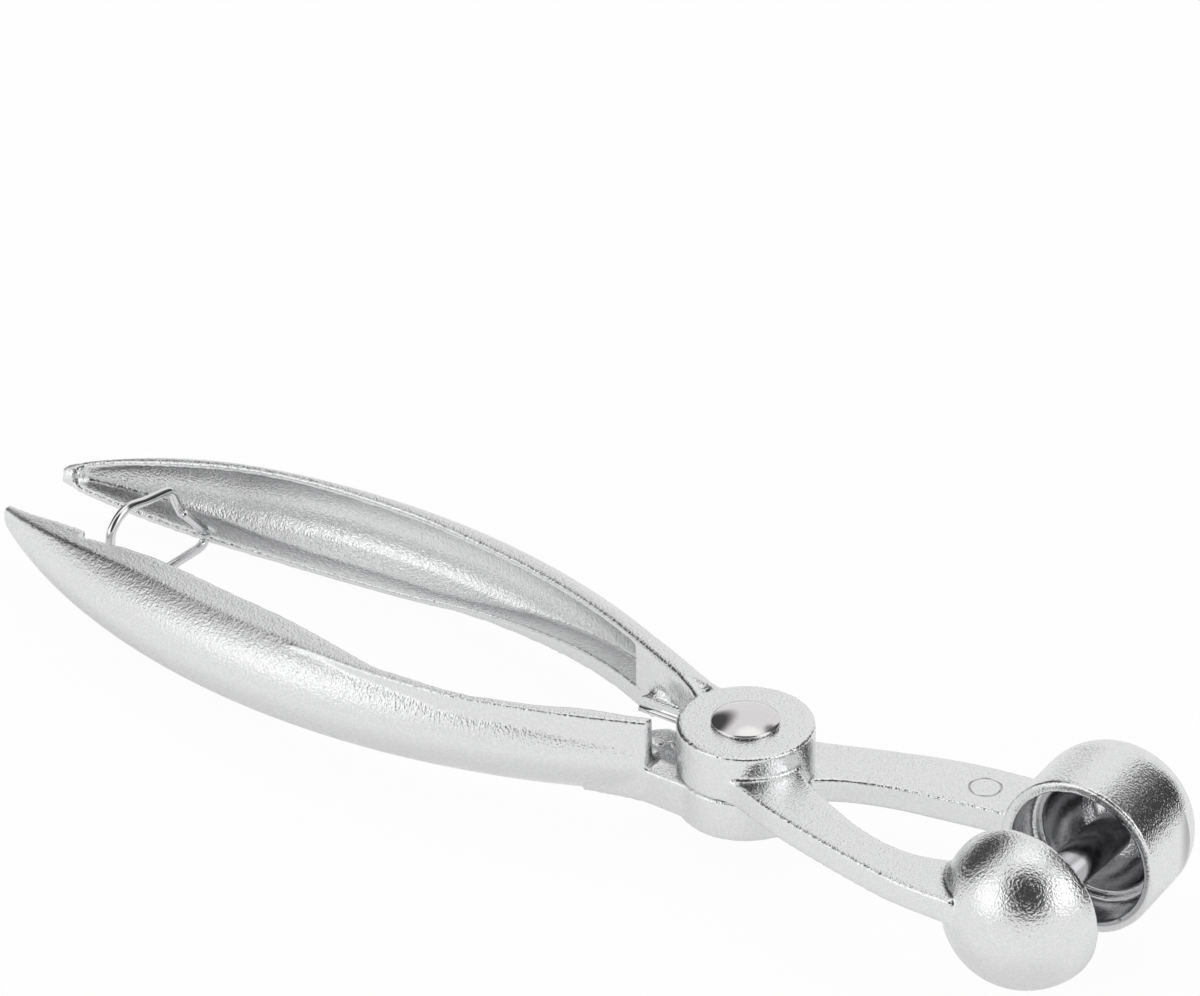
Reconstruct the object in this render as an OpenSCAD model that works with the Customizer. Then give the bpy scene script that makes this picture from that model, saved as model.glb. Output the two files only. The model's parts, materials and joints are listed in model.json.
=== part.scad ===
// Olive pitter: two cast levers crossed at a rivet, as on a pair of pliers.
// The pivot axis is Z. The jaws point to +X, the handles to -X. z = 0 is the flat underside of the hub.

/* [Hub and rivet] */
// Radius of the round hub
hub_r = 8.25; // [7.5:0.25:9.5]
// Height of the hub half on the plunger lever
hub_upper_h = 6.3; // [5.5:0.1:7.5]
// Height of the hub half on the cup lever
hub_lower_h = 5.2; // [4.8:0.1:6.5]
// Gap between the two hub halves
hub_gap = 0.1; // [0.05:0.01:0.2]
// Radius of the rivet shank
rivet_r = 2.5; // [2:0.1:3]
// Radius of the domed rivet head
rivet_head_r = 4.1; // [3.6:0.1:4.8]
// Height of the rivet head above the hub
rivet_head_h = 1.3; // [0.9:0.1:1.8]
// Radial running clearance of the lever that turns on the rivet
pivot_clearance = 0.06; // [0.03:0.01:0.1]

/* [Handles] */
// Distance from the pivot to the handle tips
handle_reach = 112.5; // [95:0.5:130]
// Distance from the middle plane to the outside of the plunger handle's tip, jaws open
plunger_tip_y = 6.4; // [5.5:0.1:7.5]
// Distance from the middle plane to the outside of the cup handle's tip
cup_tip_y = 8.1; // [7.5:0.1:9.5]
// Plan radius of the bowed outer side
bow_r = 103.7; // [90:0.1:125]
// Depth of the channel section, from its outer side to its open rim
handle_depth = 5.65; // [5:0.05:7]
// Half of the tallest height of a handle
handle_half_h = 6; // [5:0.1:7]
// Radius of the rounded outer side, seen along the handle
side_r = 7.3; // [6.5:0.1:8.5]
// Wall thickness of the channel
handle_wall = 1.7; // [1.3:0.1:2.2]
// Distance of the tallest place from the pivot
belly_x = 73; // [65:1:80]
// Height by which the handles' middle lies above the parting plane
handle_lift = 0.3; // [0:0.1:0.6]

/* [Jaws] */
// Distance from the pivot axis to the axis of the cup and the plunger
jaw_x = 42.5; // [38:0.5:50]
// Angle by which the handles close
close_angle = 5; // [4:0.1:6]
// Outer radius of the cup
cup_r = 9.9; // [9:0.1:11.5]
// Wall of the cup at its mouth
cup_wall = 1.4; // [1.1:0.1:2]
// Length of the cup
cup_len = 15.5; // [14:0.1:18]
// Distance from the pivot plane to the cup's rim, jaws closed
cup_rim_y = 2.7; // [2:0.1:4]
// Depth of the mouth before the seat
mouth_depth = 5.2; // [4:0.1:6]
// Width of the ledge round the seat inside the cup
seat_ledge = 1.3; // [0.8:0.1:1.8]
// Radius of the hole that the pit leaves by
pit_hole_r = 3.4; // [3:0.1:4]
// Outer radius of the plunger dome
dome_r = 9.76; // [9:0.02:11]
// Wall of the plunger dome
dome_wall = 1.5; // [1.2:0.1:2]
// Distance from the pivot plane to the dome's rim, jaws open
dome_rim_y = -4.8; // [-6:0.1:-4]
// Thickness of the two arms
arm_h = 3.3; // [2.8:0.1:4.2]

/* [Plunger rod] */
// Radius of the plunger rod
rod_r = 2.45; // [2:0.05:2.9]
// Reach of the rod's tip past the pivot plane, jaws open
rod_tip_y = 14; // [12:0.5:15]

/* [Opening spring] */
// Wire radius of the torsion spring
spring_wire_r = 0.4; // [0.3:0.05:0.45]
// Mean radius of the spring's coil
coil_r = 3.3; // [3.2:0.1:4.2]
// Turns of the spring's coil
coil_turns = 2.5; // [1.5:1:2.5]
// Distance from the pivot to the end of each leg
leg_reach = 17.5; // [14:0.5:20]

/* [Lock ring] */
// Wire radius of the lock ring
ring_wire_r = 0.55; // [0.4:0.05:0.6]
// Distance from the pivot to the hole that the ring hangs in
ring_x = 92.5; // [88:0.5:98]
// Width of the ring, from the hole to its far side
ring_w = 17.7; // [15:0.1:18]
// Height of the ring
ring_h = 12; // [11.5:0.1:14]

/* [Hidden] */
$fn = 64;
cast = [0.78, 0.79, 0.80];
steel = [0.70, 0.71, 0.73];
far = 200;
eps = 0.02;

// The bowed outer side is a circular arc from the tip to the hub. The two handles have one radius.
bow_root = [-1.067 * hub_r, 0.873 * hub_r];
function bow_centre(tip) = let (chord = bow_root - tip)
    (tip + bow_root) / 2 + sqrt(pow(bow_r / norm(chord), 2) - 0.25) * [chord.y, -chord.x];
function arc_y(c, x, depth) = c.y + sqrt(pow(bow_r - depth, 2) - pow(x - c.x, 2));
tip_x = -handle_reach;
near_tip_x = tip_x + 1.2;
far_c = bow_centre([tip_x, plunger_tip_y]);
near_c = bow_centre([near_tip_x, cup_tip_y]);
function bow_y(x, depth) = arc_y(far_c, x, depth);
function near_y(x, depth) = arc_y(near_c, x, depth);

// Heights along the handles, over the parting plane.
rim_r = bow_r - handle_depth;
slim_r = pow(handle_reach - belly_x, 2) / (2 * (handle_half_h - 1.1));
plunger_floor_x = -22;
neck_x = plunger_floor_x + 3.5;
function smooth(t) = let (s = min(max(t, 0), 1)) s * s * (3 - 2 * s);
function slim(x) = x < -belly_x ? pow(x + belly_x, 2) / (2 * slim_r) : 0;
function top_z(x) = handle_lift + handle_half_h - slim(x);
function low_z(x, at_hub, start) = handle_lift - handle_half_h + slim(x)
    + (handle_half_h - handle_lift - at_hub) * smooth((x + start) / 50);
function cup_bottom_z(x) = low_z(x, hub_lower_h - 0.4, 60);
function plunger_bottom_z(x) = low_z(x, 3.4, 66);
// Thickness of the upper and the lower wall, which thins toward the tip.
function shell(x, low) = min(1, 0.28 * (top_z(x) - low));

// The open rims in plan. Each follows the bow near the hub and runs to the tip on a line of its own.
far_rim = spline([[tip_x, plunger_tip_y - 1.9], [tip_x + 0.8, 5.3], [tip_x + 2.2, 6.3], [tip_x + 4.2, 7.3],
    [tip_x + 7.2, 8.4], [-97.4, bow_y(-97.4, 2.9)], [-89, bow_y(-89, 3.75)], [-80, bow_y(-80, 4.6)],
    [-71, bow_y(-71, 5.2)], [-61, bow_y(-61, 5.5)], [-51, bow_y(-51, 5.9)], [-40, bow_y(-40, 5.8)],
    [-29, bow_y(-29, 5.6)], [-18, bow_y(-18, 5.3)], [-10, bow_y(-10, 4.8)], [0, bow_y(0, 5.6)]], 3);
far_floor_rim = spline([[tip_x, plunger_tip_y - 2.2], [tip_x + 2.9, 4.5], [tip_x + 5.9, 5.1], [-99.5, 6.6], [-95.3, 7.6],
    [-89.7, 8.9], [-84.1, 10.2], [-78.3, 11.3], [-70.9, 12.3], [-63.6, 13.3], [-54, bow_y(-54, 5.9)],
    [-44, bow_y(-44, 5.5)], [-34, bow_y(-34, 5.2)], [-24, bow_y(-24, 5.2)], [-12, bow_y(-12, 5.2)],
    [0, bow_y(0, 5.2)]], 3);
// The near rim has a lip at the tip that the lock ring catches behind, a notch, and a wide web.
lip_x = tip_x + 17.5;
web_y = 11.2;
near_rim = spline([[near_tip_x, cup_tip_y - 1.4], [near_tip_x + 2.5, 7.45], [near_tip_x + 4.8, 8.05], [near_tip_x + 8, 8.6],
    [near_tip_x + 10.9, 9], [-97.2, 9.5], [lip_x - 0.6, 9.75], [lip_x, 10.2], [lip_x + 0.5, 11.1], [lip_x + 2, web_y],
    [-88.5, web_y - 0.1], [-83, web_y], [-77, web_y + 0.6], [-72, web_y + 1.1], [-67, web_y + 1.5], [-62, web_y + 1.8],
    [-58, web_y + 2.2], [-53.3, web_y + 2.9], [-48, web_y + 3.8], [-43.5, near_y(-43.5, 4)], [-39, near_y(-39, 3.5)],
    [-34.4, near_y(-34.4, 2.8)], [-30.6, near_y(-30.6, 2.5)], [-22.7, near_y(-22.7, 2.5)],
    [-17.3, near_y(-17.3, 2.9)], [-9.7, near_y(-9.7, 1.8)], [0, near_y(0, 1.8)]], 3);
near_floor_rim = spline([[near_tip_x, cup_tip_y - 1.5], [tip_x + 12, 9.1], [-92, 10.9], [-85, 12.2],
    [-75, near_y(-75, handle_depth)], [-64, near_y(-64, handle_depth)], [-54, near_y(-54, handle_depth)],
    [-44, near_y(-44, handle_depth)], [-34, near_y(-34, handle_depth)], [-24, near_y(-24, handle_depth)],
    [-12, near_y(-12, handle_depth)], [0, near_y(0, handle_depth)]], 3);

// Closed tube with a ring of sides around each point of a route.
function tangent(p, i, loop) = let (n = len(p))
    let (a = loop ? p[(i + n - 1) % n] : p[max(i - 1, 0)])
    let (b = loop ? p[(i + 1) % n] : p[min(i + 1, n - 1)])
    (b - a) / norm(b - a);
module tube(p, r, side, ref, loop) {
    n = len(p);
    rings = [for (i = [0 : n - 1])
        let (t = tangent(p, i, loop))
        let (u = cross(ref, t) / norm(cross(ref, t)))
        let (v = cross(t, u))
        for (k = [0 : side - 1]) p[i] + r * (cos(360 * k / side) * u + sin(360 * k / side) * v)];
    last = loop ? n - 1 : n - 2;
    walls = [for (i = [0 : last]) for (k = [0 : side - 1])
        let (a = i * side, b = ((i + 1) % n) * side, m = (k + 1) % side)
        each [[a + k, b + k, b + m], [a + k, b + m, a + m]]];
    ends = loop ? [] : [[for (k = [0 : side - 1]) k],
        [for (k = [side - 1 : -1 : 0]) (n - 1) * side + k]];
    polyhedron(points = rings, faces = concat(walls, ends), convexity = 8);
}

// Smooth curve through a few chosen points, with a number of steps between each pair.
function spline(p, steps) = [for (i = [0 : len(p) - 2])
    let (a = p[max(i - 1, 0)], b = p[i], c = p[i + 1], d = p[min(i + 2, len(p) - 1)])
    for (k = [0 : (i == len(p) - 2 ? steps : steps - 1)])
    let (t = k / steps)
    0.5 * (2 * b + (c - a) * t + (2 * a - 5 * b + 4 * c - d) * t * t
        + (3 * b - a - 3 * c + d) * t * t * t)];
function reversed(p) = [for (i = [len(p) - 1 : -1 : 0]) p[i]];

// Handle on the +Y side, built over the parting plane. The outer side has a slight ridge where the two
// halves of the mould met.
ridge = 0.5;
module bowed_sweep(c) {
    translate([c.x, c.y, 0])
    rotate([0, 0, 48])
    rotate_extrude(angle = 86) children();
}
module outer_section() {
    intersection() {
        translate([bow_r - side_r, handle_lift - ridge]) circle(side_r);
        translate([bow_r - side_r, handle_lift + ridge]) circle(side_r);
        translate([bow_r - 13, -12]) square([16, 24]);
    }
}
floor_corner_z = -2.4;
floor_rim_z = handle_lift - handle_half_h + 0.8;
module cavity_section() {
    hollow_r = side_r - 1.2;
    corner_r = bow_r - handle_wall;
    difference() {
        translate([corner_r - hollow_r, handle_lift + 0.2]) circle(hollow_r);
        polygon([[rim_r - 9, -20], [rim_r - 9, floor_rim_z], [rim_r + 0.4, floor_rim_z], [corner_r, floor_corner_z],
            [bow_r + 3, floor_corner_z + 1.4], [bow_r + 3, -20]]);
    }
}
// Side view of a handle as a slab across Y, between a lower and an upper line.
module side_slab(low, high) {
    translate([0, far / 2, 0])
    rotate([90, 0, 0])
    linear_extrude(far) polygon(concat(low, reversed(high)));
}
// Everything beyond a rim line: one line above a split line in side view, another below it.
module beyond_rim(rim) {
    translate([0, 0, -20]) linear_extrude(40)
        polygon(concat(rim, [[far, rim[len(rim) - 1].y], [far, far], [rim[0].x, far]]));
}
module beyond_rims(upper, lower, split) {
    intersection() {
        beyond_rim(upper);
        side_slab(split, [[-far, 19], [far, 19]]);
    }
    intersection() {
        beyond_rim(lower);
        side_slab([[-far, -19], [far, -19]], split);
    }
}
handle_xs = [for (x = [tip_x : 3.75 : 0]) x];
// The channel's wall thins toward the tip, where its end is closed.
tip_thinning = 0.42;
tip_solid = 2.6;
module handle_cavity(c, low, high, end_x) {
    intersection() {
        translate(bow_root) rotate([0, 0, -tip_thinning]) translate(-bow_root)
            bowed_sweep(c) cavity_section();
        side_slab(low, high);
        translate([tip_x + tip_solid, -far / 2, -far / 2]) cube([end_x - tip_x - tip_solid, far, far]);
    }
}

// Cup lever: lower hub half, near handle, far arm and cup.
step_x = -1.13 * hub_r;
module cup_handle() {
    bottom = [for (x = handle_xs) [x, cup_bottom_z(x)]];
    floor_line = [for (x = handle_xs) [x, cup_bottom_z(x) + shell(x, cup_bottom_z(x))]];
    roof_line = [for (x = handle_xs) [x, top_z(x) - shell(x, cup_bottom_z(x))]];
    // near the hub the outer side stands upright under its top edge
    flank = concat(spline([[-56, near_y(-56, 3.3)], [-50, near_y(-50, 3)], [-45, near_y(-45, 2.45)],
        [-36, near_y(-36, 1.75)], [-30, near_y(-30, 1.3)], [-19, near_y(-19, 0.95)], [step_x, near_y(step_x, 0.3)]], 3),
        [[step_x, near_y(step_x, 2.2)], [-30, near_y(-30, 2.3)], [-50, near_y(-50, 4)]]);
    intersection() {
        difference() {
            union() {
                intersection() {
                    bowed_sweep(near_c) outer_section();
                    side_slab(bottom, [for (x = handle_xs) [x, top_z(x)]]);
                }
                translate([0, 0, -1]) linear_extrude(1 + top_z(0)) polygon(flank);
            }
            handle_cavity(near_c, floor_line, roof_line, -24);
            // the other lever's hub half turns here
            translate([step_x, -far / 2, 0]) cube([far, far, far]);
        }
        beyond_rims(near_rim, near_floor_rim, [[-far, 1], [far, 1]]);
    }
    // the lower neck runs into the hub
    translate([0, 0, -hub_lower_h + 0.6]) linear_extrude(hub_lower_h - 0.6)
        polygon([[-17, near_y(-17, 1.6)], [-12, near_y(-12, 0.7)], [-9, 7.55], [-3, 7.5], [0, 0], [-7, 2.4],
            [-12, near_y(-12, 4.6)]]);
}
module cup_arm() {
    back = spline([[-2.5, 7.6], [3.9, 9.8], [12, 13.2], [20.3, 16.2], [28, 17.8], [35, 18.4]], 4);
    front = spline([[7.6, 2], [11.2, 4.4], [16.6, 6.5], [22.6, 7.9], [29.9, 9.4], [36, 10.2]], 4);
    translate([0, 0, -arm_h]) linear_extrude(arm_h) polygon(concat(back, reversed(front), [[0, 0]]));
}
cup_end_r = 6.5;
cup_bore_r = cup_r - cup_wall;
module cup_outside() {
    // rounded end: a cylinder whose edge is an arc
    rotate([-90, 0, 0]) rotate_extrude() {
        square([cup_r, cup_len - cup_end_r]);
        translate([0, cup_len - cup_end_r]) square([cup_r - cup_end_r, cup_end_r]);
        intersection() {
            translate([cup_r - cup_end_r, cup_len - cup_end_r]) circle(cup_end_r);
            translate([0, cup_len - cup_end_r]) square([cup_r, cup_end_r]);
        }
    }
}
module cup_inside() {
    rotate([-90, 0, 0]) {
        translate([0, 0, -1]) cylinder(r = cup_bore_r, h = mouth_depth + 1);
        intersection() {
            translate([0, 0, mouth_depth]) sphere(cup_bore_r - seat_ledge);
            translate([0, 0, mouth_depth - eps]) cylinder(r = 20, h = 20);
        }
        cylinder(r = pit_hole_r, h = cup_len + 1);
    }
}
mark_r = 2.2;
mark_depth = 0.15;
module cup_lever() {
    color(cast)
    translate([0, 0, hub_lower_h])
    difference() {
        union() {
            mirror([0, 1, 0]) cup_handle();
            translate([0, 0, -hub_lower_h]) cylinder(r = hub_r, h = hub_lower_h);
            cup_arm();
            rotate([0, 0, close_angle]) translate([jaw_x, cup_rim_y, 0]) cup_outside();
        }
        rotate([0, 0, close_angle]) translate([jaw_x, cup_rim_y, 0]) cup_inside();
        translate([0, 0, -hub_lower_h - 1]) cylinder(r = rivet_r, h = hub_lower_h + 2);
        spring_pocket(-1);
        // shallow round mark on the arm's flat top
        translate([25.4, 12.8, 0]) difference() {
            translate([0, 0, -mark_depth]) cylinder(r = mark_r, h = 1);
            translate([0, 0, -mark_depth - 1]) cylinder(r = mark_r - 0.25, h = 3);
        }
        // countersink for the peened tail
        translate([0, 0, -hub_lower_h - eps]) cylinder(r1 = rivet_r + tail_flare + eps, r2 = rivet_r, h = tail_flare + eps);
    }
}

// Plunger lever: upper hub half, far handle, near arm and dome.
module plunger_handle() {
    // the neck is only as deep as the upper hub half
    bottom = concat([for (x = handle_xs) if (x < neck_x) [x, plunger_bottom_z(x)]],
        [[neck_x, plunger_bottom_z(neck_x)], [neck_x, hub_gap], [0, hub_gap]]);
    floor_line = [for (x = handle_xs) [x, plunger_bottom_z(x) + shell(x, plunger_bottom_z(x))
        + 1.7 * smooth((x + 62) / 40)]];
    roof_line = [for (x = handle_xs) [x, top_z(x) - shell(x, plunger_bottom_z(x))]];
    flank = concat(spline([[-35, bow_y(-35, 4.1)], [-32.6, bow_y(-32.6, 4)], [-26.9, bow_y(-26.9, 3.6)],
        [-21, bow_y(-21, 3.1)], [-15, bow_y(-15, 2.55)], [-8.7, bow_y(-8.7, 1.8)], [-5, 4.2]], 3),
        [[-5, 3], [-15, bow_y(-15, 4.6)], [-26, bow_y(-26, 5.2)]]);
    // the lower rim reaches up to just over the channel's floor
    split_line = [for (x = handle_xs) [x, plunger_bottom_z(x) + shell(x, plunger_bottom_z(x)) + 0.3
        + 1.7 * smooth((x + 62) / 40)]];
    intersection() {
        difference() {
            union() {
                intersection() {
                    bowed_sweep(far_c) outer_section();
                    side_slab(bottom, [for (x = handle_xs) [x, top_z(x)]]);
                }
                translate([0, 0, 1]) linear_extrude(top_z(0) - 1) polygon(flank);
            }
            handle_cavity(far_c, floor_line, roof_line, plunger_floor_x);
            // scoop in the neck's inner side
            intersection() {
                bowed_sweep(far_c) translate([bow_r - 20, 1.2]) square([20 - 4.4, 2.4]);
                translate([plunger_floor_x + 6, -1, 0]) cube([30, far, 12]);
            }
        }
        beyond_rims(far_rim, far_floor_rim, split_line);
    }
    // low shelf under the scoop, beside the spring's leg
    translate([0, 0, hub_gap]) linear_extrude(1.1)
        polygon([[neck_x, 3.5], [neck_x, bow_y(neck_x, 3)], [-6, bow_y(-6, 1)], [-6, 3.5]]);
}
module plunger_arm() {
    outer = spline([[-1, -8], [3.6, -7.9], [11.1, -10.2], [18.8, -11.9], [26.7, -13.3], [32, -13.8], [38, -13.6]], 4);
    inner = spline([[8, -0.5], [11.7, -2.9], [20.2, -6.5], [26.1, -7.7], [29.9, -7.4], [34.5, -5.8]], 4);
    translate([0, 0, hub_gap]) linear_extrude(arm_h - hub_gap) polygon(concat(reversed(outer), [[0, 0]], inner));
}
dome_in_r = dome_r - dome_wall;
boss_r = rod_r + 1.4;
module dome_half(r) {
    intersection() {
        sphere(r);
        translate([-20, -40, -20]) cube([40, 40, 40]);
    }
}
module plunger_lever() {
    color(cast)
    translate([0, 0, hub_lower_h])
    difference() {
        union() {
            difference() {
                union() {
                    plunger_handle();
                    translate([0, 0, hub_gap]) cylinder(r = hub_r, h = hub_upper_h - hub_gap);
                    plunger_arm();
                    translate([jaw_x, dome_rim_y, 0]) dome_half(dome_r);
                }
                translate([jaw_x, dome_rim_y + eps, 0]) dome_half(dome_in_r);
            }
            translate([jaw_x, dome_rim_y - dome_in_r + 3, 0]) rotate([90, 0, 0]) cylinder(r = boss_r, h = 3.6);
        }
        translate([jaw_x, rod_base_y, 0]) rotate([-90, 0, 0]) cylinder(r = rod_r, h = 12);
        translate([0, 0, -1]) cylinder(r = rivet_r + pivot_clearance, h = hub_upper_h + 2);
        spring_pocket(1);
        translate([-ring_x, ring_hole_y, -12]) cylinder(r = ring_wire_r + 0.2, h = 12);
    }
}

// The rod is pressed into the dome's boss.
rod_base_y = dome_rim_y - dome_r + dome_wall + 0.9;
module plunger_rod() {
    rod_len = rod_tip_y - rod_base_y;
    color(steel)
    translate([jaw_x, rod_base_y, hub_lower_h])
    rotate([-90, 0, 0]) {
        cylinder(r = rod_r, h = rod_len - 0.5);
        translate([0, 0, rod_len - 0.5]) cylinder(r1 = rod_r, r2 = rod_r - 0.5, h = 0.5);
    }
}

// Rivet: domed head on the upper half, shank, and a tail peened flush into the underside.
tail_flare = 1.2;
head_edge = 0.35;
head_seat = 0.05;
module pivot_rivet() {
    cap_h = rivet_head_h - head_edge;
    cap_r = (pow(rivet_head_r, 2) + pow(cap_h, 2)) / (2 * cap_h);
    top = hub_lower_h + hub_upper_h + head_seat;
    color(steel) {
        cylinder(r = rivet_r, h = top + eps);
        cylinder(r1 = rivet_r + tail_flare, r2 = rivet_r, h = tail_flare);
        translate([0, 0, top]) {
            cylinder(r = rivet_head_r, h = head_edge + eps);
            intersection() {
                translate([0, 0, head_edge + cap_h - cap_r]) sphere(cap_r);
                translate([0, 0, head_edge]) cylinder(r = rivet_head_r, h = cap_h + 1);
            }
        }
    }
}

// The spring lies in a round pocket, half in each hub half. Each half has a slot for one leg.
spring_pitch = 2 * spring_wire_r + 0.08;
spring_middle = -0.6;
spring_half_h = (coil_turns * spring_pitch) / 2 + spring_wire_r;
pocket_r = coil_r + spring_wire_r + 0.35;
pocket_top = spring_middle + spring_half_h + 0.25;
pocket_floor = spring_middle - spring_half_h - 0.25;
leg_slot = spring_wire_r + 0.3;
leg_lean = 0.7;
module spring_pocket(side) {
    z0 = side > 0 ? -1 : pocket_floor;
    h = side > 0 ? pocket_top + 1 : 1 - pocket_floor;
    translate([0, 0, z0]) cylinder(r = pocket_r, h = h);
    translate([-leg_reach - 1, side * coil_r - leg_slot - (side > 0 ? leg_lean : 0), z0])
        cube([leg_reach + 1, 2 * leg_slot + leg_lean, h]);
}
module opening_spring() {
    steps = 20;
    total = floor(coil_turns * steps + 0.5);
    low = hub_lower_h + spring_middle - coil_turns * spring_pitch / 2;
    high = low + coil_turns * spring_pitch;
    coil = [for (i = [0 : total])
        let (a = 90 - 360 * i / steps)
        [coil_r * cos(a), coil_r * sin(a), high - spring_pitch * i / steps]];
    first = [[-leg_reach, coil_r - leg_lean, high], [-leg_reach / 2, coil_r - leg_lean / 2, high], [-1.2, coil_r, high]];
    last = [[-1.2, -coil_r, low], [-leg_reach / 2, -coil_r, low], [-leg_reach, -coil_r, low]];
    color(steel) tube(concat(first, coil, last), spring_wire_r, 6, [0, 0, 1], false);
}

// Lock ring: one bent wire through the hole in the far handle's lower wall.
ring_hole_y = 9.3;
module lock_ring() {
    up = ring_h / 2 + 0.4;
    low = 0.5 - ring_h / 2;
    w = ring_w;
    route = spline([[0, low + 1.3], [0, -3], [0.5, -1.9], [1.5, 0], [3.3, 3.6], [4.2, up - 2], [5.6, up - 1.7],
        [10, up - 0.8], [w - 3.6, up], [w - 1.4, up - 1.6], [w, 2.3], [w, low + 2], [w - 1, low + 0.4], [w - 3, low],
        [9, low], [3, low], [1.3, low], [0.65, low + 0.17], [0.17, low + 0.65]], 3);
    color(steel)
    translate([-ring_x, ring_hole_y, hub_lower_h])
    tube([for (p = route) [0, -p.x, p.y]], ring_wire_r, 8, [1, 0, 0], true);
}

cup_lever();
plunger_lever();
plunger_rod();
pivot_rivet();
opening_spring();
lock_ring();
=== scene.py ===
import bpy
import bmesh
import json
import math
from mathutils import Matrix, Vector


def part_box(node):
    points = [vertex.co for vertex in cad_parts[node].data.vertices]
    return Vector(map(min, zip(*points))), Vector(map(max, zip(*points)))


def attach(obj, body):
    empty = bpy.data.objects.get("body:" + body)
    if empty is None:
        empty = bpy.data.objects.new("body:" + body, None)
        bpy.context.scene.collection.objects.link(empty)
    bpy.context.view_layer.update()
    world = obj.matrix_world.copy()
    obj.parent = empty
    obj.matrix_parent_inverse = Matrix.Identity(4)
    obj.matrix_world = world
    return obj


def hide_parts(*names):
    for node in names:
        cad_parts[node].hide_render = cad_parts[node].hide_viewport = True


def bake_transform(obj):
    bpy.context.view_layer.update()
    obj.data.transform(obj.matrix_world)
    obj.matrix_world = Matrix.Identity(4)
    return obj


bl_info = {
    "name": "Olive pitter visual",
    "version": (1, 0, 0),
    "blender": (4, 5, 0),
    "location": "3D View > Sidebar > Pitter",
    "description": "Builds the visual pieces of a cast olive pitter on its CAD frame",
    "category": "Object",
}

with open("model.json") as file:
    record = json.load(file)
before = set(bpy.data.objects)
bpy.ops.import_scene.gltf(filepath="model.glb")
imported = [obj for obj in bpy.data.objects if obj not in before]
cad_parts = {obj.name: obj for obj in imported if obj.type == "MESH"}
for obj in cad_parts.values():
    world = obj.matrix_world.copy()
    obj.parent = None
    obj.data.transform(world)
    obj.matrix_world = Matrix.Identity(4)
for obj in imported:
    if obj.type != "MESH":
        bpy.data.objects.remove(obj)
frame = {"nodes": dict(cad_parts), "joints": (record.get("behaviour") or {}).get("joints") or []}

MM = 0.001
PARTING_Z = 5.2 * MM           # height of the parting plane over the hub's underside
CUP_X = 42.5 * MM              # the jaws' axis lies across the tool at this X
MERGE = 1e-7                   # points nearer than this are one point

# ---- colour and relief of the casting
CAST_DARK, CAST_LIGHT = (0.85, 0.853, 0.858, 1), (0.90, 0.902, 0.905, 1)
# painted shade: colour of the cup's shaded inside
CUP_PAINTED_SHADE = (0.50, 0.50, 0.51, 1)
# painted shade: colour of the pin mark's groove
MARK_SHADE_COLOR = (0.30, 0.30, 0.31, 1)
FINE_SCALE, MID_SCALE, SLOW_SCALE = 6000, 3400, 150      # noise cells per metre
FINE_SHARE, MID_SHARE = 0.3, 0.7
STROKE_SCALE, STROKE_STRETCH = 2200, 0.06
STROKE_RELIEF, MARK_RELIEF = 1.1, 1.5
STROKES_FULL, STROKES_END = -0.030, -0.012               # X over which the belt strokes fade out
CUP_WALL = (8.7 * MM, 8.9 * MM)                          # radius of the cup's inside
CUP_MOUTH, CUP_SEAT = (3.2 * MM, 3.8 * MM), (16.4 * MM, 16.6 * MM)
MARK_X, MARK_Y, MARK_R = 25.4 * MM, 12.8 * MM, 1.9 * MM  # round mark on the far arm's flat top
MARK_LINE = (0.04 * MM, 0.16 * MM)

# ---- forms that the CAD nodes lack, in millimetres
NECK_WEB = ((-14.4, -2.3), (-10.8, -1.9), (-7, -1.9), (-7, 2.3), (-12.8, 2.3), (-14.4, 0.8))
NECK_WEB_Z = (1.5, 5.05)
NOSE_MIDDLE, NOSE_RADII = (-111.35, 5.75, 5.5), (1.1, 1.2, 1.2)
# boxes in which a casting is smoothed further: low corner, high corner, passes
CUP_SPOTS = (((-14.6, -2.6, 3.0), (-6.5, 2.6, 6.5), 6),)
PLUNGER_SPOTS = (((-113, 3, 3), (-110.0, 7.0, 7.4), 8),
                 ((-25, 1.5, 6.7), (-8, 6.8, 10.3), 70),
                 ((-20, 4.4, 5.8), (-11, 7.4, 9.2), 80))

# ---- lock ring, in millimetres: way across from the hole, height over the parting plane and
# side step. The end that comes up through the hole crosses the other end.
RING_UP, RING_LOW, RING_WIDE = 6.4, -5.5, 17.7
RING_POINTS = (
    (4.4, 1.3, 0.5), (3.5, 0.3, 0.55), (2.3, -1.1, 0.5), (1.1, -2.4, 0.25), (0.2, -3.3, 0),
    (0, -3.9, 0), (0.1, -4.6, 0), (0.5, -5.2, 0), (1.4, RING_LOW, 0), (3, RING_LOW, 0),
    (9, RING_LOW, 0), (RING_WIDE - 3, RING_LOW, 0), (RING_WIDE - 1, RING_LOW + 0.4, 0),
    (RING_WIDE, RING_LOW + 2, 0), (RING_WIDE, 3.0, 0), (RING_WIDE - 0.9, RING_UP - 1.2, 0),
    (RING_WIDE - 3.4, RING_UP + 0.1, 0), (10.5, RING_UP - 0.5, 0), (7.2, RING_UP - 0.9, 0),
    (6.2, RING_UP - 1.2, 0), (5.5, RING_UP - 2.0, -0.1), (4.6, 2.6, -0.4), (3.6, 0.6, -0.5))

# ---- opening spring round the rivet
SPRING_TURNS, SPRING_MEAN, SPRING_PITCH = 2.5, 3.3 * MM, 0.88 * MM
SPRING_MID = PARTING_Z - 0.6 * MM
SPRING_STEPS = 120
LEG_XS = (-17.5, -15.5, -13, -11, -9, -7, -5, -3.5, -2, -0.6)    # upper leg from its tip, in mm
LOW_LEG_XS = (-0.6, -2, -5, -9, -13, -17.5)                      # lower leg to its tip, in mm
LEG_STEP, LEG_LENGTH = 0.7 * MM, 16.9                            # the upper leg's lean inwards

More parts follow.
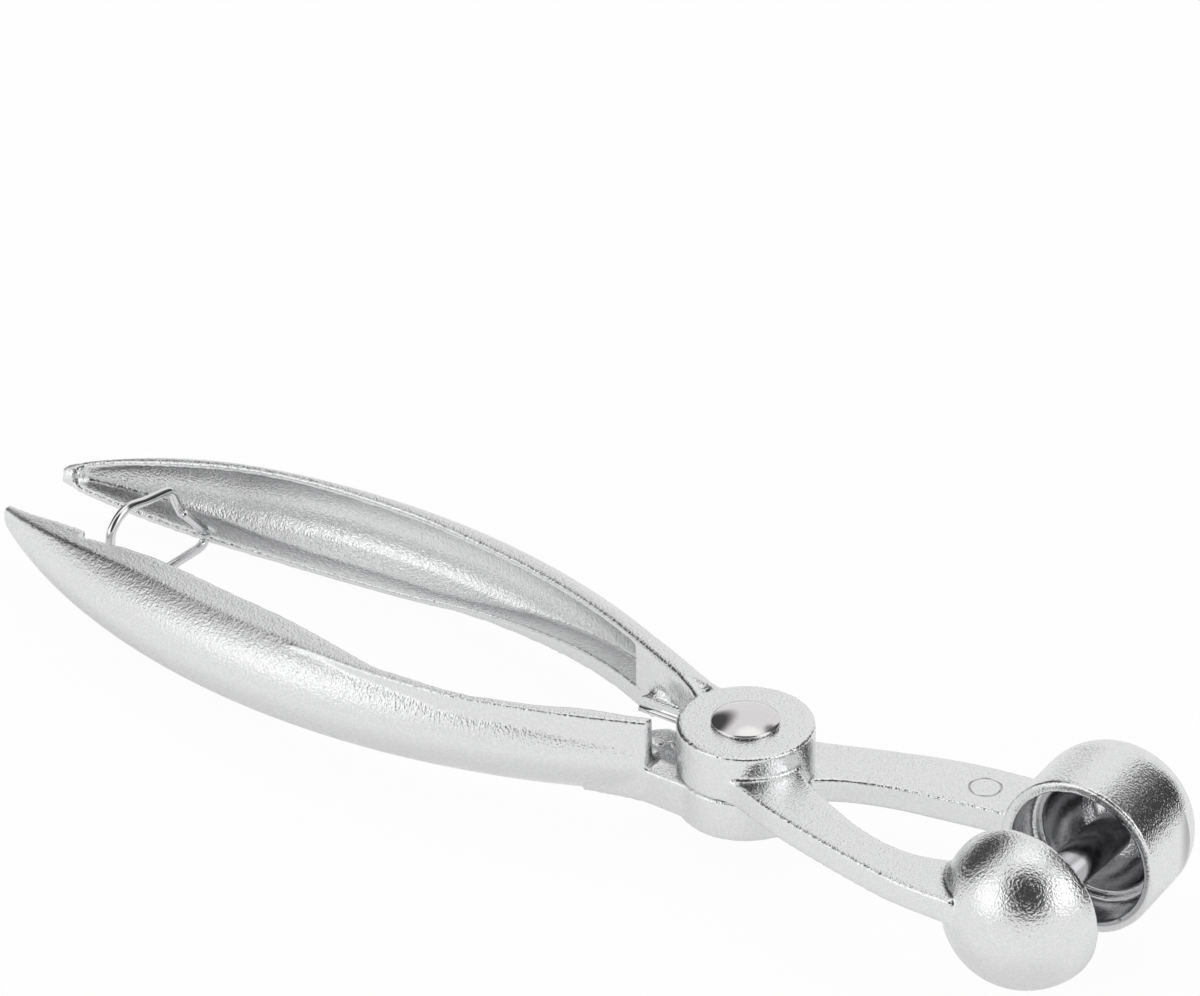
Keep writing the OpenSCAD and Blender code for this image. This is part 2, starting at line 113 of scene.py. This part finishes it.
# ---- stage
FLOOR_HALF = 6.0
FLOOR_SLOPE = 3.95 / 134.5     # laid under the cup, the dome and the handles, not under the hub
FLOOR_X, FLOOR_Z = 0.042, -4.75 * MM
FLOOR_SEEN, FLOOR_MIRRORED = 0.96, 0.45    # share of plain white, seen directly and in reflections
TENT, DIFFUSE_SKY = 0.84, 0.55
# parts of the studio as the metal mirrors them: turn, rise, inner and outer radius in degrees,
# and level. A level of None is the panel's room value.
PATCHES = (
    (170, 26, 20, 36, 0.07), (55, 18, 20, 29, 0.05), (68, 44, 11, 20, 0.12),
    (-57, 48, 27, 36, None), (-116, 28, 13, 26, 1.25), (8, 34, 14, 23, 1.4), (100, 78, 8, 20, 1.1))
FILL_SHARE = 0.35
CAMERA_PLACE = (0.3052, -0.42537, 0.34453)
CAMERA_TURN = (59.9835, 0.8801, 36.9758)
CAMERA_LENS = 158.03


# ---------------------------------------------------------------- settings

class PitterCasting(bpy.types.PropertyGroup):
    voxel: bpy.props.FloatProperty(
        name="Casting voxel", description="Cell size of the remesh that rounds the cast edges",
        default=0.3 * MM, min=0.25 * MM, max=1.0 * MM, precision=5, unit="LENGTH",
        subtype="DISTANCE")
    soften: bpy.props.IntProperty(
        name="Soften", description="Smoothing passes over the remeshed casting", default=8,
        min=0, max=30)
    grain: bpy.props.FloatProperty(
        name="Grain height", description="Height of the cast grain", default=0.085 * MM,
        precision=6, min=0.0, unit="LENGTH", subtype="DISTANCE")


class PitterPins(bpy.types.PropertyGroup):
    head_r: bpy.props.FloatProperty(
        name="Head radius", description="Radius of the domed rivet head", default=4.1 * MM,
        precision=5, unit="LENGTH", subtype="DISTANCE")
    head_h: bpy.props.FloatProperty(
        name="Head height", description="Height of the domed rivet head", default=1.3 * MM,
        precision=5, unit="LENGTH", subtype="DISTANCE")
    rod_r: bpy.props.FloatProperty(
        name="Rod radius", description="Radius of the plunger rod", default=2.45 * MM,
        precision=5, unit="LENGTH", subtype="DISTANCE")


class PitterWire(bpy.types.PropertyGroup):
    ring_r: bpy.props.FloatProperty(
        name="Ring wire radius", description="Radius of the lock ring's wire", default=0.62 * MM,
        precision=5, unit="LENGTH", subtype="DISTANCE")
    spring_r: bpy.props.FloatProperty(
        name="Spring wire radius", description="Radius of the spring's wire", default=0.4 * MM,
        precision=5, unit="LENGTH", subtype="DISTANCE")


class PitterStage(bpy.types.PropertyGroup):
    key: bpy.props.FloatProperty(
        name="Key", description="Power of the overhead soft light", default=2.2, min=0.0,
        unit="POWER")
    room: bpy.props.FloatProperty(
        name="Room", description="Strength of the dim side of the studio", default=0.06, min=0.0)


# ---------------------------------------------------------------- helpers

def link(obj, body):
    bpy.context.scene.collection.objects.link(obj)
    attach(obj, body)


def shade_smooth(mesh):
    for p in mesh.polygons:
        p.use_smooth = True


def mesh_object(name, bm, mat):
    me = bpy.data.meshes.new(name)
    bmesh.ops.recalc_face_normals(bm, faces=bm.faces[:])
    bm.to_mesh(me)
    bm.free()
    shade_smooth(me)
    me.materials.append(mat)
    return bpy.data.objects.new(name, me)


def spline(points, steps):
    """Smooth curve through the points, with so many steps between two of them."""
    out = []
    n = len(points)
    for i in range(n - 1):
        a, b, c, d = (Vector(points[max(i - 1, 0)]), Vector(points[i]), Vector(points[i + 1]),
                      Vector(points[min(i + 2, n - 1)]))
        for k in range(steps):
            t = k / steps
            out.append(0.5 * (2 * b + (c - a) * t + (2 * a - 5 * b + 4 * c - d) * t * t
                              + (3 * b - a - 3 * c + d) * t ** 3))
    out.append(Vector(points[-1]))
    return out


def tube(route, radius, sides):
    """Capped tube along an open route, with frames carried from point to point."""
    bm = bmesh.new()
    last = len(route) - 1
    tangents = [(route[min(i + 1, last)] - route[max(i - 1, 0)]).normalized()
                for i in range(last + 1)]
    angles = [2 * math.pi * k / sides for k in range(sides)]
    side = tangents[0].orthogonal().normalized()
    rings = []
    for i, tangent in enumerate(tangents):
        if i:
            turn = tangents[i - 1].rotation_difference(tangent)
            side = (turn @ side).normalized()
        other = tangent.cross(side)
        rings.append([bm.verts.new(route[i] + radius * (math.cos(a) * side + math.sin(a) * other))
                      for a in angles])
    for a, b in zip(rings, rings[1:]):
        for k in range(sides):
            bm.faces.new((a[k], a[(k + 1) % sides], b[(k + 1) % sides], b[k]))
    bm.faces.new(rings[0])
    bm.faces.new(list(reversed(rings[-1])))
    return bm


def spin_profile(profile, steps=96):
    """Solid of revolution about Z from (radius, height) points that start and end on the axis."""
    bm = bmesh.new()
    verts = [bm.verts.new((r, 0, z)) for r, z in profile]
    edges = [bm.edges.new((verts[i], verts[i + 1])) for i in range(len(verts) - 1)]
    bmesh.ops.spin(bm, geom=verts + edges, cent=(0, 0, 0), axis=(0, 0, 1), angle=2 * math.pi,
                   steps=steps, use_merge=True, use_normal_flip=False, use_duplicate=False)
    bmesh.ops.remove_doubles(bm, verts=bm.verts[:], dist=MERGE)
    return bm


def node(tree, kind, **values):
    n = tree.nodes.new(kind)
    for key, v in values.items():
        setattr(n, key, v)
    return n


def feed(tree, socket, value):
    """Link a socket to an input, or set the input to a plain value."""
    if isinstance(value, bpy.types.NodeSocket):
        tree.links.new(value, socket)
    else:
        socket.default_value = value


def metal(name):
    mat = bpy.data.materials.new(name)
    mat.use_nodes = True
    tree = mat.node_tree
    tree.nodes.clear()
    out = node(tree, "ShaderNodeOutputMaterial")
    bsdf = node(tree, "ShaderNodeBsdfPrincipled")
    bsdf.inputs["Metallic"].default_value = 1.0
    tree.links.new(bsdf.outputs[0], out.inputs[0])
    return mat, tree, bsdf


def mathn(tree, op, a, b=None):
    n = node(tree, "ShaderNodeMath", operation=op)
    feed(tree, n.inputs[0], a)
    if b is not None:
        feed(tree, n.inputs[1], b)
    return n.outputs[0]


def vector(tree, op, a, b=None):
    """Vector maths: LENGTH and DOT_PRODUCT give a value, the others a vector."""
    n = node(tree, "ShaderNodeVectorMath", operation=op)
    feed(tree, n.inputs[0], a)
    if b is not None:
        feed(tree, n.inputs[1], b)
    return n.outputs["Value" if op in ("LENGTH", "DOT_PRODUCT") else "Vector"]


def remap(tree, value, lo, hi, to_lo, to_hi):
    n = node(tree, "ShaderNodeMapRange", interpolation_type="SMOOTHSTEP")
    for key, v in (("Value", value), ("From Min", lo), ("From Max", hi), ("To Min", to_lo),
                   ("To Max", to_hi)):
        feed(tree, n.inputs[key], v)
    return n.outputs[0]


def noise(tree, coords, scale, detail, rough, distort=0.0):
    n = node(tree, "ShaderNodeTexNoise")
    for key, v in (("Vector", coords), ("Scale", scale), ("Detail", detail), ("Roughness", rough),
                   ("Distortion", distort)):
        feed(tree, n.inputs[key], v)
    return n.outputs[0]


def tint(tree, factor, a, b):
    """Mix of two colours."""
    n = node(tree, "ShaderNodeMix", data_type="RGBA")
    for key, v in (("Factor", factor), ("A", a), ("B", b)):
        feed(tree, n.inputs[key], v)
    return n.outputs["Result"]


def ramp(tree, value, low, high):
    """Colour ramp between two stops of position and colour."""
    n = node(tree, "ShaderNodeValToRGB")
    for stop, (position, color) in zip(n.color_ramp.elements, (low, high)):
        stop.position = position
        stop.color = color
    tree.links.new(value, n.inputs[0])
    return n.outputs[0]


def emboss(tree, bsdf, height, distance, strength):
    n = node(tree, "ShaderNodeBump")
    for key, v in (("Strength", strength), ("Distance", distance), ("Height", height)):
        feed(tree, n.inputs[key], v)
    tree.links.new(n.outputs[0], bsdf.inputs["Normal"])


def mirrored(tree, paths):
    """1 for reflection and transmission rays, 0 for all others."""
    return mathn(tree, "MAXIMUM", paths.outputs["Is Glossy Ray"],
                 paths.outputs["Is Transmission Ray"])


# ---------------------------------------------------------------- materials

def grain_group():
    """Shared grain of a tumbled casting: its height, its spots and a slow cloud."""
    g = bpy.data.node_groups.new("CastGrain", "ShaderNodeTree")
    g.interface.new_socket("Vector", in_out="INPUT", socket_type="NodeSocketVector")
    for name in ("Height", "Spots", "Cloud"):
        g.interface.new_socket(name, in_out="OUTPUT", socket_type="NodeSocketFloat")
    coords = node(g, "NodeGroupInput").outputs[0]
    out = node(g, "NodeGroupOutput")
    fine = noise(g, coords, FINE_SCALE, 1.0, 0.6)
    mid = noise(g, coords, MID_SCALE, 1.0, 0.5, 0.2)
    height = mathn(g, "ADD", mathn(g, "MULTIPLY", fine, FINE_SHARE),
                   mathn(g, "MULTIPLY", mid, MID_SHARE))
    g.links.new(height, out.inputs["Height"])
    g.links.new(remap(g, mid, 0.38, 0.66, 0.0, 1.0), out.inputs["Spots"])
    g.links.new(noise(g, coords, SLOW_SCALE, 2.0, 0.5), out.inputs["Cloud"])
    return g


def cast_material(group, grain):
    mat, t, bsdf = metal("cast_aluminium")
    place = node(t, "ShaderNodeTexCoord").outputs["Object"]
    gr = node(t, "ShaderNodeGroup")
    gr.node_tree = group
    t.links.new(place, gr.inputs[0])
    sep = node(t, "ShaderNodeSeparateXYZ")
    t.links.new(place, sep.inputs[0])
    x, y, z = sep.outputs
    # strokes of the belt across the handles
    squeezed = node(t, "ShaderNodeMapping")
    squeezed.inputs["Scale"].default_value = (1.0, 1.0, STROKE_STRETCH)
    t.links.new(place, squeezed.inputs["Vector"])
    strokes = noise(t, squeezed.outputs[0], STROKE_SCALE, 3.0, 0.7)
    handle = remap(t, x, STROKES_FULL, STROKES_END, 1.0, 0.0)
    # painted shade: the cup's inside, a cylinder about the jaws' axis between mouth and seat, is
    # darkened in colour as shade in the hollow; the relief is weaker there too
    across = vector(t, "MULTIPLY", vector(t, "SUBTRACT", place, (CUP_X, 0.0, PARTING_Z)),
                    (1.0, 0.0, 1.0))
    shaded_cup_inside = mathn(t, "MULTIPLY", remap(t, vector(t, "LENGTH", across), *CUP_WALL, 1.0, 0.0),
                   mathn(t, "MULTIPLY", remap(t, y, *CUP_MOUTH, 0.0, 1.0),
                         remap(t, y, *CUP_SEAT, 1.0, 0.0)))
    # round mark of the mould's pin: a line on the upper side only, sunk as a groove in the relief,
    # with painted shade darkening its colour
    level = vector(t, "MULTIPLY", vector(t, "SUBTRACT", place, (MARK_X, MARK_Y, 0.0)),
                   (1.0, 1.0, 0.0))
    away = mathn(t, "ABSOLUTE", mathn(t, "SUBTRACT", vector(t, "LENGTH", level), MARK_R))
    mark_groove_shade = mathn(t, "MULTIPLY", remap(t, away, *MARK_LINE, 1.0, 0.0),
                 remap(t, z, PARTING_Z - 1 * MM, PARTING_Z - 0.5 * MM, 0.0, 1.0))
    # colour: grain spots, then painted shade inside the cup and in the pin mark's groove
    color = ramp(t, gr.outputs["Spots"], (0.25, CAST_DARK), (0.75, CAST_LIGHT))
    color = tint(t, shaded_cup_inside, color, CUP_PAINTED_SHADE)
    color = tint(t, mathn(t, "MULTIPLY", mark_groove_shade, 0.45), color, MARK_SHADE_COLOR)
    t.links.new(color, bsdf.inputs["Base Color"])
    # gloss
    rough = mathn(t, "ADD", remap(t, gr.outputs["Spots"], 0.0, 1.0, 0.13, 0.07),
                  remap(t, gr.outputs["Cloud"], 0.35, 0.65, 0.0, 0.06))
    t.links.new(rough, bsdf.inputs["Roughness"])
    # relief, weaker inside the cup
    relief = mathn(t, "ADD", gr.outputs["Height"],
                   mathn(t, "MULTIPLY", strokes, mathn(t, "MULTIPLY", handle, STROKE_RELIEF)))
    relief = mathn(t, "SUBTRACT", relief, mathn(t, "MULTIPLY", mark_groove_shade, MARK_RELIEF))
    emboss(t, bsdf, relief, grain, mathn(t, "SUBTRACT", 1.0, mathn(t, "MULTIPLY", shaded_cup_inside, 0.7)))
    return mat


def steel_material(name, color, rough_lo, rough_hi, scale, bump_mm):
    mat, t, bsdf = metal(name)
    n = noise(t, node(t, "ShaderNodeTexCoord").outputs["Object"], scale, 3.0, 0.6)
    dark = [c * 0.85 for c in color]
    t.links.new(ramp(t, n, (0.0, (*dark, 1)), (1.0, (*color, 1))), bsdf.inputs["Base Color"])
    t.links.new(remap(t, n, 0.3, 0.7, rough_lo, rough_hi), bsdf.inputs["Roughness"])
    emboss(t, bsdf, n, bump_mm * MM, 0.4)
    return mat


# ---------------------------------------------------------------- pieces

def round_tip(bm, middle, radii):
    """Add an ellipsoid to a casting's mesh; the remesh joins it to the metal round it."""
    for v in bmesh.ops.create_icosphere(bm, subdivisions=4, radius=1.0)["verts"]:
        v.co = Vector(m * MM for m in middle) + Vector(c * (r * MM) for c, r in zip(v.co, radii))


def web(bm, outline, low, high):
    """Add an upright prism to a casting's mesh; the remesh joins it to the metal round it."""
    face = bm.faces.new([bm.verts.new((x * MM, y * MM, low * MM)) for x, y in outline])
    up = bmesh.ops.extrude_face_region(bm, geom=[face], use_keep_orig=True)["geom"]
    bmesh.ops.translate(bm, verts=[g for g in up if isinstance(g, bmesh.types.BMVert)],
                        vec=(0, 0, high * MM - low * MM))


def soothe(mesh, low, high, times):
    """Smooth the part of a casting that lies in a box, given in millimetres."""
    bm = bmesh.new()
    bm.from_mesh(mesh)
    verts = [v for v in bm.verts if all(low[k] * MM < v.co[k] < high[k] * MM for k in range(3))]
    for _ in range(times):
        bmesh.ops.smooth_vert(bm, verts=verts, factor=0.5, use_axis_x=True, use_axis_y=True,
                              use_axis_z=True)
    bm.to_mesh(mesh)
    bm.free()


def smooth_modifier(obj, name, times):
    mod = obj.modifiers.new(name, "SMOOTH")
    mod.factor = 0.5
    mod.iterations = times


def casting(node_name, body, mat, props, add_form, soft_spots):
    """A lever as a casting: its CAD mesh and one added form, remeshed so that edges are soft."""
    me = frame["nodes"][node_name].data.copy()
    me.name = node_name + "_cast"
    bm = bmesh.new()
    bm.from_mesh(me)
    bmesh.ops.remove_doubles(bm, verts=bm.verts[:], dist=MERGE)
    add_form(bm)
    bmesh.ops.recalc_face_normals(bm, faces=bm.faces[:])
    bm.to_mesh(me)
    bm.free()
    me.materials.clear()
    obj = bpy.data.objects.new(node_name + "_cast", me)
    rough = bpy.data.objects.new(node_name + "_rough", me.copy())
    for o in (obj, rough):
        bpy.context.scene.collection.objects.link(o)
    voxels = obj.modifiers.new("Voxels", "REMESH")
    voxels.mode = "VOXEL"
    voxels.voxel_size = props.voxel
    voxels.adaptivity = 0.0
    smooth_modifier(obj, "Ease", 3)
    # back onto the sharp mesh, then the edges are softened
    seat = obj.modifiers.new("Seat", "SHRINKWRAP")
    seat.wrap_method = "NEAREST_SURFACEPOINT"
    seat.target = rough
    smooth_modifier(obj, "Soften", props.soften)
    new = bpy.data.meshes.new_from_object(obj.evaluated_get(bpy.context.evaluated_depsgraph_get()))
    obj.modifiers.clear()
    obj.data = new
    bpy.data.objects.remove(rough)
    for spot in soft_spots:
        soothe(new, *spot)
    shade_smooth(new)
    new.materials.append(mat)
    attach(obj, body)
    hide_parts(node_name)


class PITTER_OT_castings(bpy.types.Operator):
    """Build the two cast levers with eased edges and a tumbled casting's surface"""
    bl_idname = "pitter.castings"
    bl_label = "Cast levers"

    def execute(self, context):
        props = context.scene.pitter_casting
        mat = cast_material(grain_group(), props.grain)
        # the neck's web beside the spring's slot, under the other lever's shelf
        casting("cup_lever", "cup_side", mat, props, lambda bm: web(bm, NECK_WEB, *NECK_WEB_Z),
                CUP_SPOTS)
        # the rims meet in a round nose at the far handle's tip
        casting("plunger_lever", "plunger_side", mat, props,
                lambda bm: round_tip(bm, NOSE_MIDDLE, NOSE_RADII), PLUNGER_SPOTS)
        return {"FINISHED"}


class PITTER_OT_rivet(bpy.types.Operator):
    """Build the domed rivet with its eased rim"""
    bl_idname = "pitter.rivet"
    bl_label = "Pivot rivet"

    def execute(self, context):
        props = context.scene.pitter_pins
        _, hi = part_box("pivot_rivet")
        top = hi.z
        base = top - props.head_h
        r = props.head_r
        cap = props.head_h - 0.35 * MM
        ball = (r * r + cap * cap) / (2 * cap)
        profile = [(0, 0), (3.7 * MM, 0), (2.5 * MM, 1.2 * MM), (2.5 * MM, base),
                   (r - 0.12 * MM, base), (r, base + 0.12 * MM), (r, base + 0.3 * MM),
                   (r - 0.03 * MM, base + 0.38 * MM)]
        rows = 15
        for i in range(1, rows):
            rr = (r - 0.06 * MM) * (1 - i / rows)
            profile.append((rr, top - ball + math.sqrt(ball * ball - rr * rr)))
        profile.append((0, top))
        mat = steel_material("rivet_steel", (0.86, 0.84, 0.84), 0.07, 0.12, 2500, 0.004)
        obj = mesh_object("rivet", spin_profile(profile), mat)
        link(obj, "cup_side")
        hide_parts("pivot_rivet")
        return {"FINISHED"}


class PITTER_OT_rod(bpy.types.Operator):
    """Build the plunger rod with its eased tip"""
    bl_idname = "pitter.rod"
    bl_label = "Plunger rod"

    def execute(self, context):
        lo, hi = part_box("plunger_rod")
        r = context.scene.pitter_pins.rod_r
        length = hi.y - lo.y
        ease = 0.5 * MM
        angles = [math.radians(15 * i) for i in range(7)]
        tip = [(r - ease + ease * math.cos(a), length - ease + ease * math.sin(a)) for a in angles]
        profile = [(0, 0), (r, 0), *tip, (r - 0.9 * MM, length),
                   (r - 1.0 * MM, length - 0.2 * MM), (0, length - 0.2 * MM)]
        bm = spin_profile(profile, 64)
        for v in bm.verts:
            v.co = Vector(((lo.x + hi.x) / 2 + v.co.x, lo.y + v.co.z, (lo.z + hi.z) / 2 - v.co.y))
        mat = steel_material("rod_steel", (0.55, 0.55, 0.57), 0.14, 0.20, 1500, 0.006)
        obj = mesh_object("rod", bm, mat)
        link(obj, "plunger_side")
        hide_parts("plunger_rod")
        return {"FINISHED"}


class PITTER_OT_wires(bpy.types.Operator):
    """Build the lock ring and the opening spring as bent wire"""
    bl_idname = "pitter.wires"
    bl_label = "Lock ring and spring"

    def execute(self, context):
        props = context.scene.pitter_wire
        mat = steel_material("bright_wire", (0.90, 0.90, 0.91), 0.06, 0.13, 1800, 0.006)
        hole = frame["joints"][1]["pos_m"]
        route = [Vector((hole[0] + p.z * MM, hole[1] - p.x * MM, PARTING_Z + p.y * MM))
                 for p in spline(RING_POINTS, 8)]
        ring = mesh_object("ring_wire", tube(route, props.ring_r, 16), mat)
        link(ring, "ring")
        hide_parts("lock_ring")
        # the coil runs down from the upper leg to the lower one
        drop = SPRING_TURNS * SPRING_PITCH
        high, low = SPRING_MID + drop / 2, SPRING_MID - drop / 2
        coil = []
        for i in range(SPRING_STEPS + 1):
            a = math.radians(90 - 360 * SPRING_TURNS * i / SPRING_STEPS)
            coil.append(Vector((SPRING_MEAN * math.cos(a), SPRING_MEAN * math.sin(a),
                                high - drop * i / SPRING_STEPS)))
        low_leg = [Vector((x * MM, -SPRING_MEAN, low)) for x in LOW_LEG_XS]
        spring = mesh_object("spring_coil", tube(coil + low_leg, props.spring_r, 12), mat)
        link(spring, "cup_side")
        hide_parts("opening_spring")
        # the upper leg, which pushes the far handle, leans inwards along its length; it is built
        # in place and attached to no body
        leg = [Vector((x * MM, SPRING_MEAN - LEG_STEP * min(1, (-x - 0.6) / LEG_LENGTH), high))
               for x in LEG_XS]
        spring = mesh_object("spring_leg", tube(leg + coil[:4], props.spring_r, 12), mat)
        context.scene.collection.objects.link(spring)
        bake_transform(spring)
        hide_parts("opening_spring")
        return {"FINISHED"}


# ---------------------------------------------------------------- stage

def floor_material():
    """Pale matt floor, nearly plain white to the camera; it keeps a faint shadow."""
    mat = bpy.data.materials.new("floor_white")
    mat.use_nodes = True
    t = mat.node_tree
    t.nodes.clear()
    out = node(t, "ShaderNodeOutputMaterial")
    diffuse = node(t, "ShaderNodeBsdfDiffuse")
    diffuse.inputs["Color"].default_value = (0.9, 0.9, 0.9, 1)
    glow = node(t, "ShaderNodeEmission")
    glow.inputs["Color"].default_value = (1, 1, 1, 1)
    glow.inputs["Strength"].default_value = 1.0
    paths = node(t, "ShaderNodeLightPath")
    plain = mathn(t, "MAXIMUM", mathn(t, "MULTIPLY", mirrored(t, paths), FLOOR_MIRRORED),
                  mathn(t, "MULTIPLY", paths.outputs["Is Camera Ray"], FLOOR_SEEN))
    mix = node(t, "ShaderNodeMixShader")
    for socket, value in zip(mix.inputs, (plain, diffuse.outputs[0], glow.outputs[0])):
        t.links.new(value, socket)
    t.links.new(mix.outputs[0], out.inputs[0])
    return mat


def studio_world(room):
    """White to the camera; to the metal a light grey tent with brighter and dim parts."""
    world = bpy.data.worlds.new("studio")
    world.use_nodes = True
    t = world.node_tree
    t.nodes.clear()
    out = node(t, "ShaderNodeOutputWorld")
    bg = node(t, "ShaderNodeBackground")
    bg.inputs["Color"].default_value = (1, 1, 1, 1)
    way = node(t, "ShaderNodeTexCoord").outputs["Generated"]
    paths = node(t, "ShaderNodeLightPath")
    tent = TENT
    for turn, rise, inner, outer, level in PATCHES:
        turn, rise, inner, outer = (math.radians(v) for v in (turn, rise, inner, outer))
        middle = (math.cos(rise) * math.cos(turn), math.cos(rise) * math.sin(turn), math.sin(rise))
        facing = vector(t, "DOT_PRODUCT", way, middle)
        mix = node(t, "ShaderNodeMix", data_type="FLOAT")
        feed(t, mix.inputs["Factor"], remap(t, facing, math.cos(outer), math.cos(inner), 0, 1))
        feed(t, mix.inputs["A"], tent)
        feed(t, mix.inputs["B"], room if level is None else level)
        tent = mix.outputs[0]
    gloss = mirrored(t, paths)
    lit = mathn(t, "ADD", mathn(t, "MULTIPLY", tent, gloss),
                mathn(t, "SUBTRACT", DIFFUSE_SKY, mathn(t, "MULTIPLY", gloss, DIFFUSE_SKY)))
    t.links.new(mathn(t, "MAXIMUM", lit, paths.outputs["Is Camera Ray"]), bg.inputs["Strength"])
    t.links.new(bg.outputs[0], out.inputs[0])
    return world


def lamp(scene, name, place, aim, width, depth, power):
    """Soft light that no reflection shows."""
    data = bpy.data.lights.new(name, "AREA")
    data.shape = "RECTANGLE"
    data.size, data.size_y = width, depth
    data.energy = power
    obj = bpy.data.objects.new(name, data)
    scene.collection.objects.link(obj)
    obj.visible_glossy = False
    obj.location = place
    obj.rotation_mode = "QUATERNION"
    obj.rotation_quaternion = (Vector(aim) - Vector(place)).to_track_quat("-Z", "Y")


class PITTER_OT_stage(bpy.types.Operator):
    """Set the pale floor, the soft studio light and the camera"""
    bl_idname = "pitter.stage"
    bl_label = "Stage"

    def execute(self, context):
        props = context.scene.pitter_stage
        scene = context.scene
        bm = bmesh.new()
        for x, y in ((-1, -1), (1, -1), (1, 1), (-1, 1)):
            x, y = x * FLOOR_HALF, y * FLOOR_HALF
            bm.verts.new((x, y, FLOOR_Z + (FLOOR_X - x) * FLOOR_SLOPE))
        bm.faces.new(bm.verts[:])
        floor = mesh_object("floor", bm, floor_material())
        scene.collection.objects.link(floor)
        scene.world = studio_world(props.room)
        lamp(scene, "key", (-0.25, 0.35, 0.75), (-0.02, 0, 0), 0.7, 0.5, props.key)
        lamp(scene, "fill", (0.55, -0.45, 0.35), (0.0, 0, 0), 0.5, 0.3, props.key * FILL_SHARE)
        cam = bpy.data.objects.new("camera", bpy.data.cameras.new("camera"))
        scene.collection.objects.link(cam)
        cam.data.sensor_width = 36.0
        cam.data.lens = CAMERA_LENS
        cam.data.clip_start = 0.05
        cam.data.clip_end = 20.0
        cam.location = CAMERA_PLACE
        cam.rotation_euler = [math.radians(v) for v in CAMERA_TURN]
        scene.camera = cam
        scene.view_settings.view_transform = "Standard"
        return {"FINISHED"}


class PITTER_PT_panel(bpy.types.Panel):
    """Sizes and builders of the olive pitter"""
    bl_label = "Olive pitter"
    bl_idname = "PITTER_PT_panel"
    bl_space_type = "VIEW_3D"
    bl_region_type = "UI"
    bl_category = "Pitter"

    def draw(self, context):
        layout = self.layout
        for name in GROUPS:
            box = layout.box()
            group = getattr(context.scene, name)
            for key in group.__annotations__:
                box.prop(group, key)
        for op in OPERATORS:
            layout.operator(op.bl_idname)


GROUPS = {"pitter_casting": PitterCasting, "pitter_pins": PitterPins, "pitter_wire": PitterWire,
          "pitter_stage": PitterStage}
OPERATORS = (PITTER_OT_castings, PITTER_OT_rivet, PITTER_OT_rod, PITTER_OT_wires, PITTER_OT_stage)
CLASSES = (*GROUPS.values(), *OPERATORS, PITTER_PT_panel)


def register():
    for c in CLASSES:
        bpy.utils.register_class(c)
    for name, group in GROUPS.items():
        setattr(bpy.types.Scene, name, bpy.props.PointerProperty(type=group))


def unregister():
    for name in GROUPS:
        delattr(bpy.types.Scene, name)
    for c in reversed(CLASSES):
        bpy.utils.unregister_class(c)


def main():
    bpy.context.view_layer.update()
    register()
    bpy.ops.pitter.castings()
    bpy.ops.pitter.rivet()
    bpy.ops.pitter.rod()
    bpy.ops.pitter.wires()
    bpy.ops.pitter.stage()


if __name__ == "__main__":
    main()
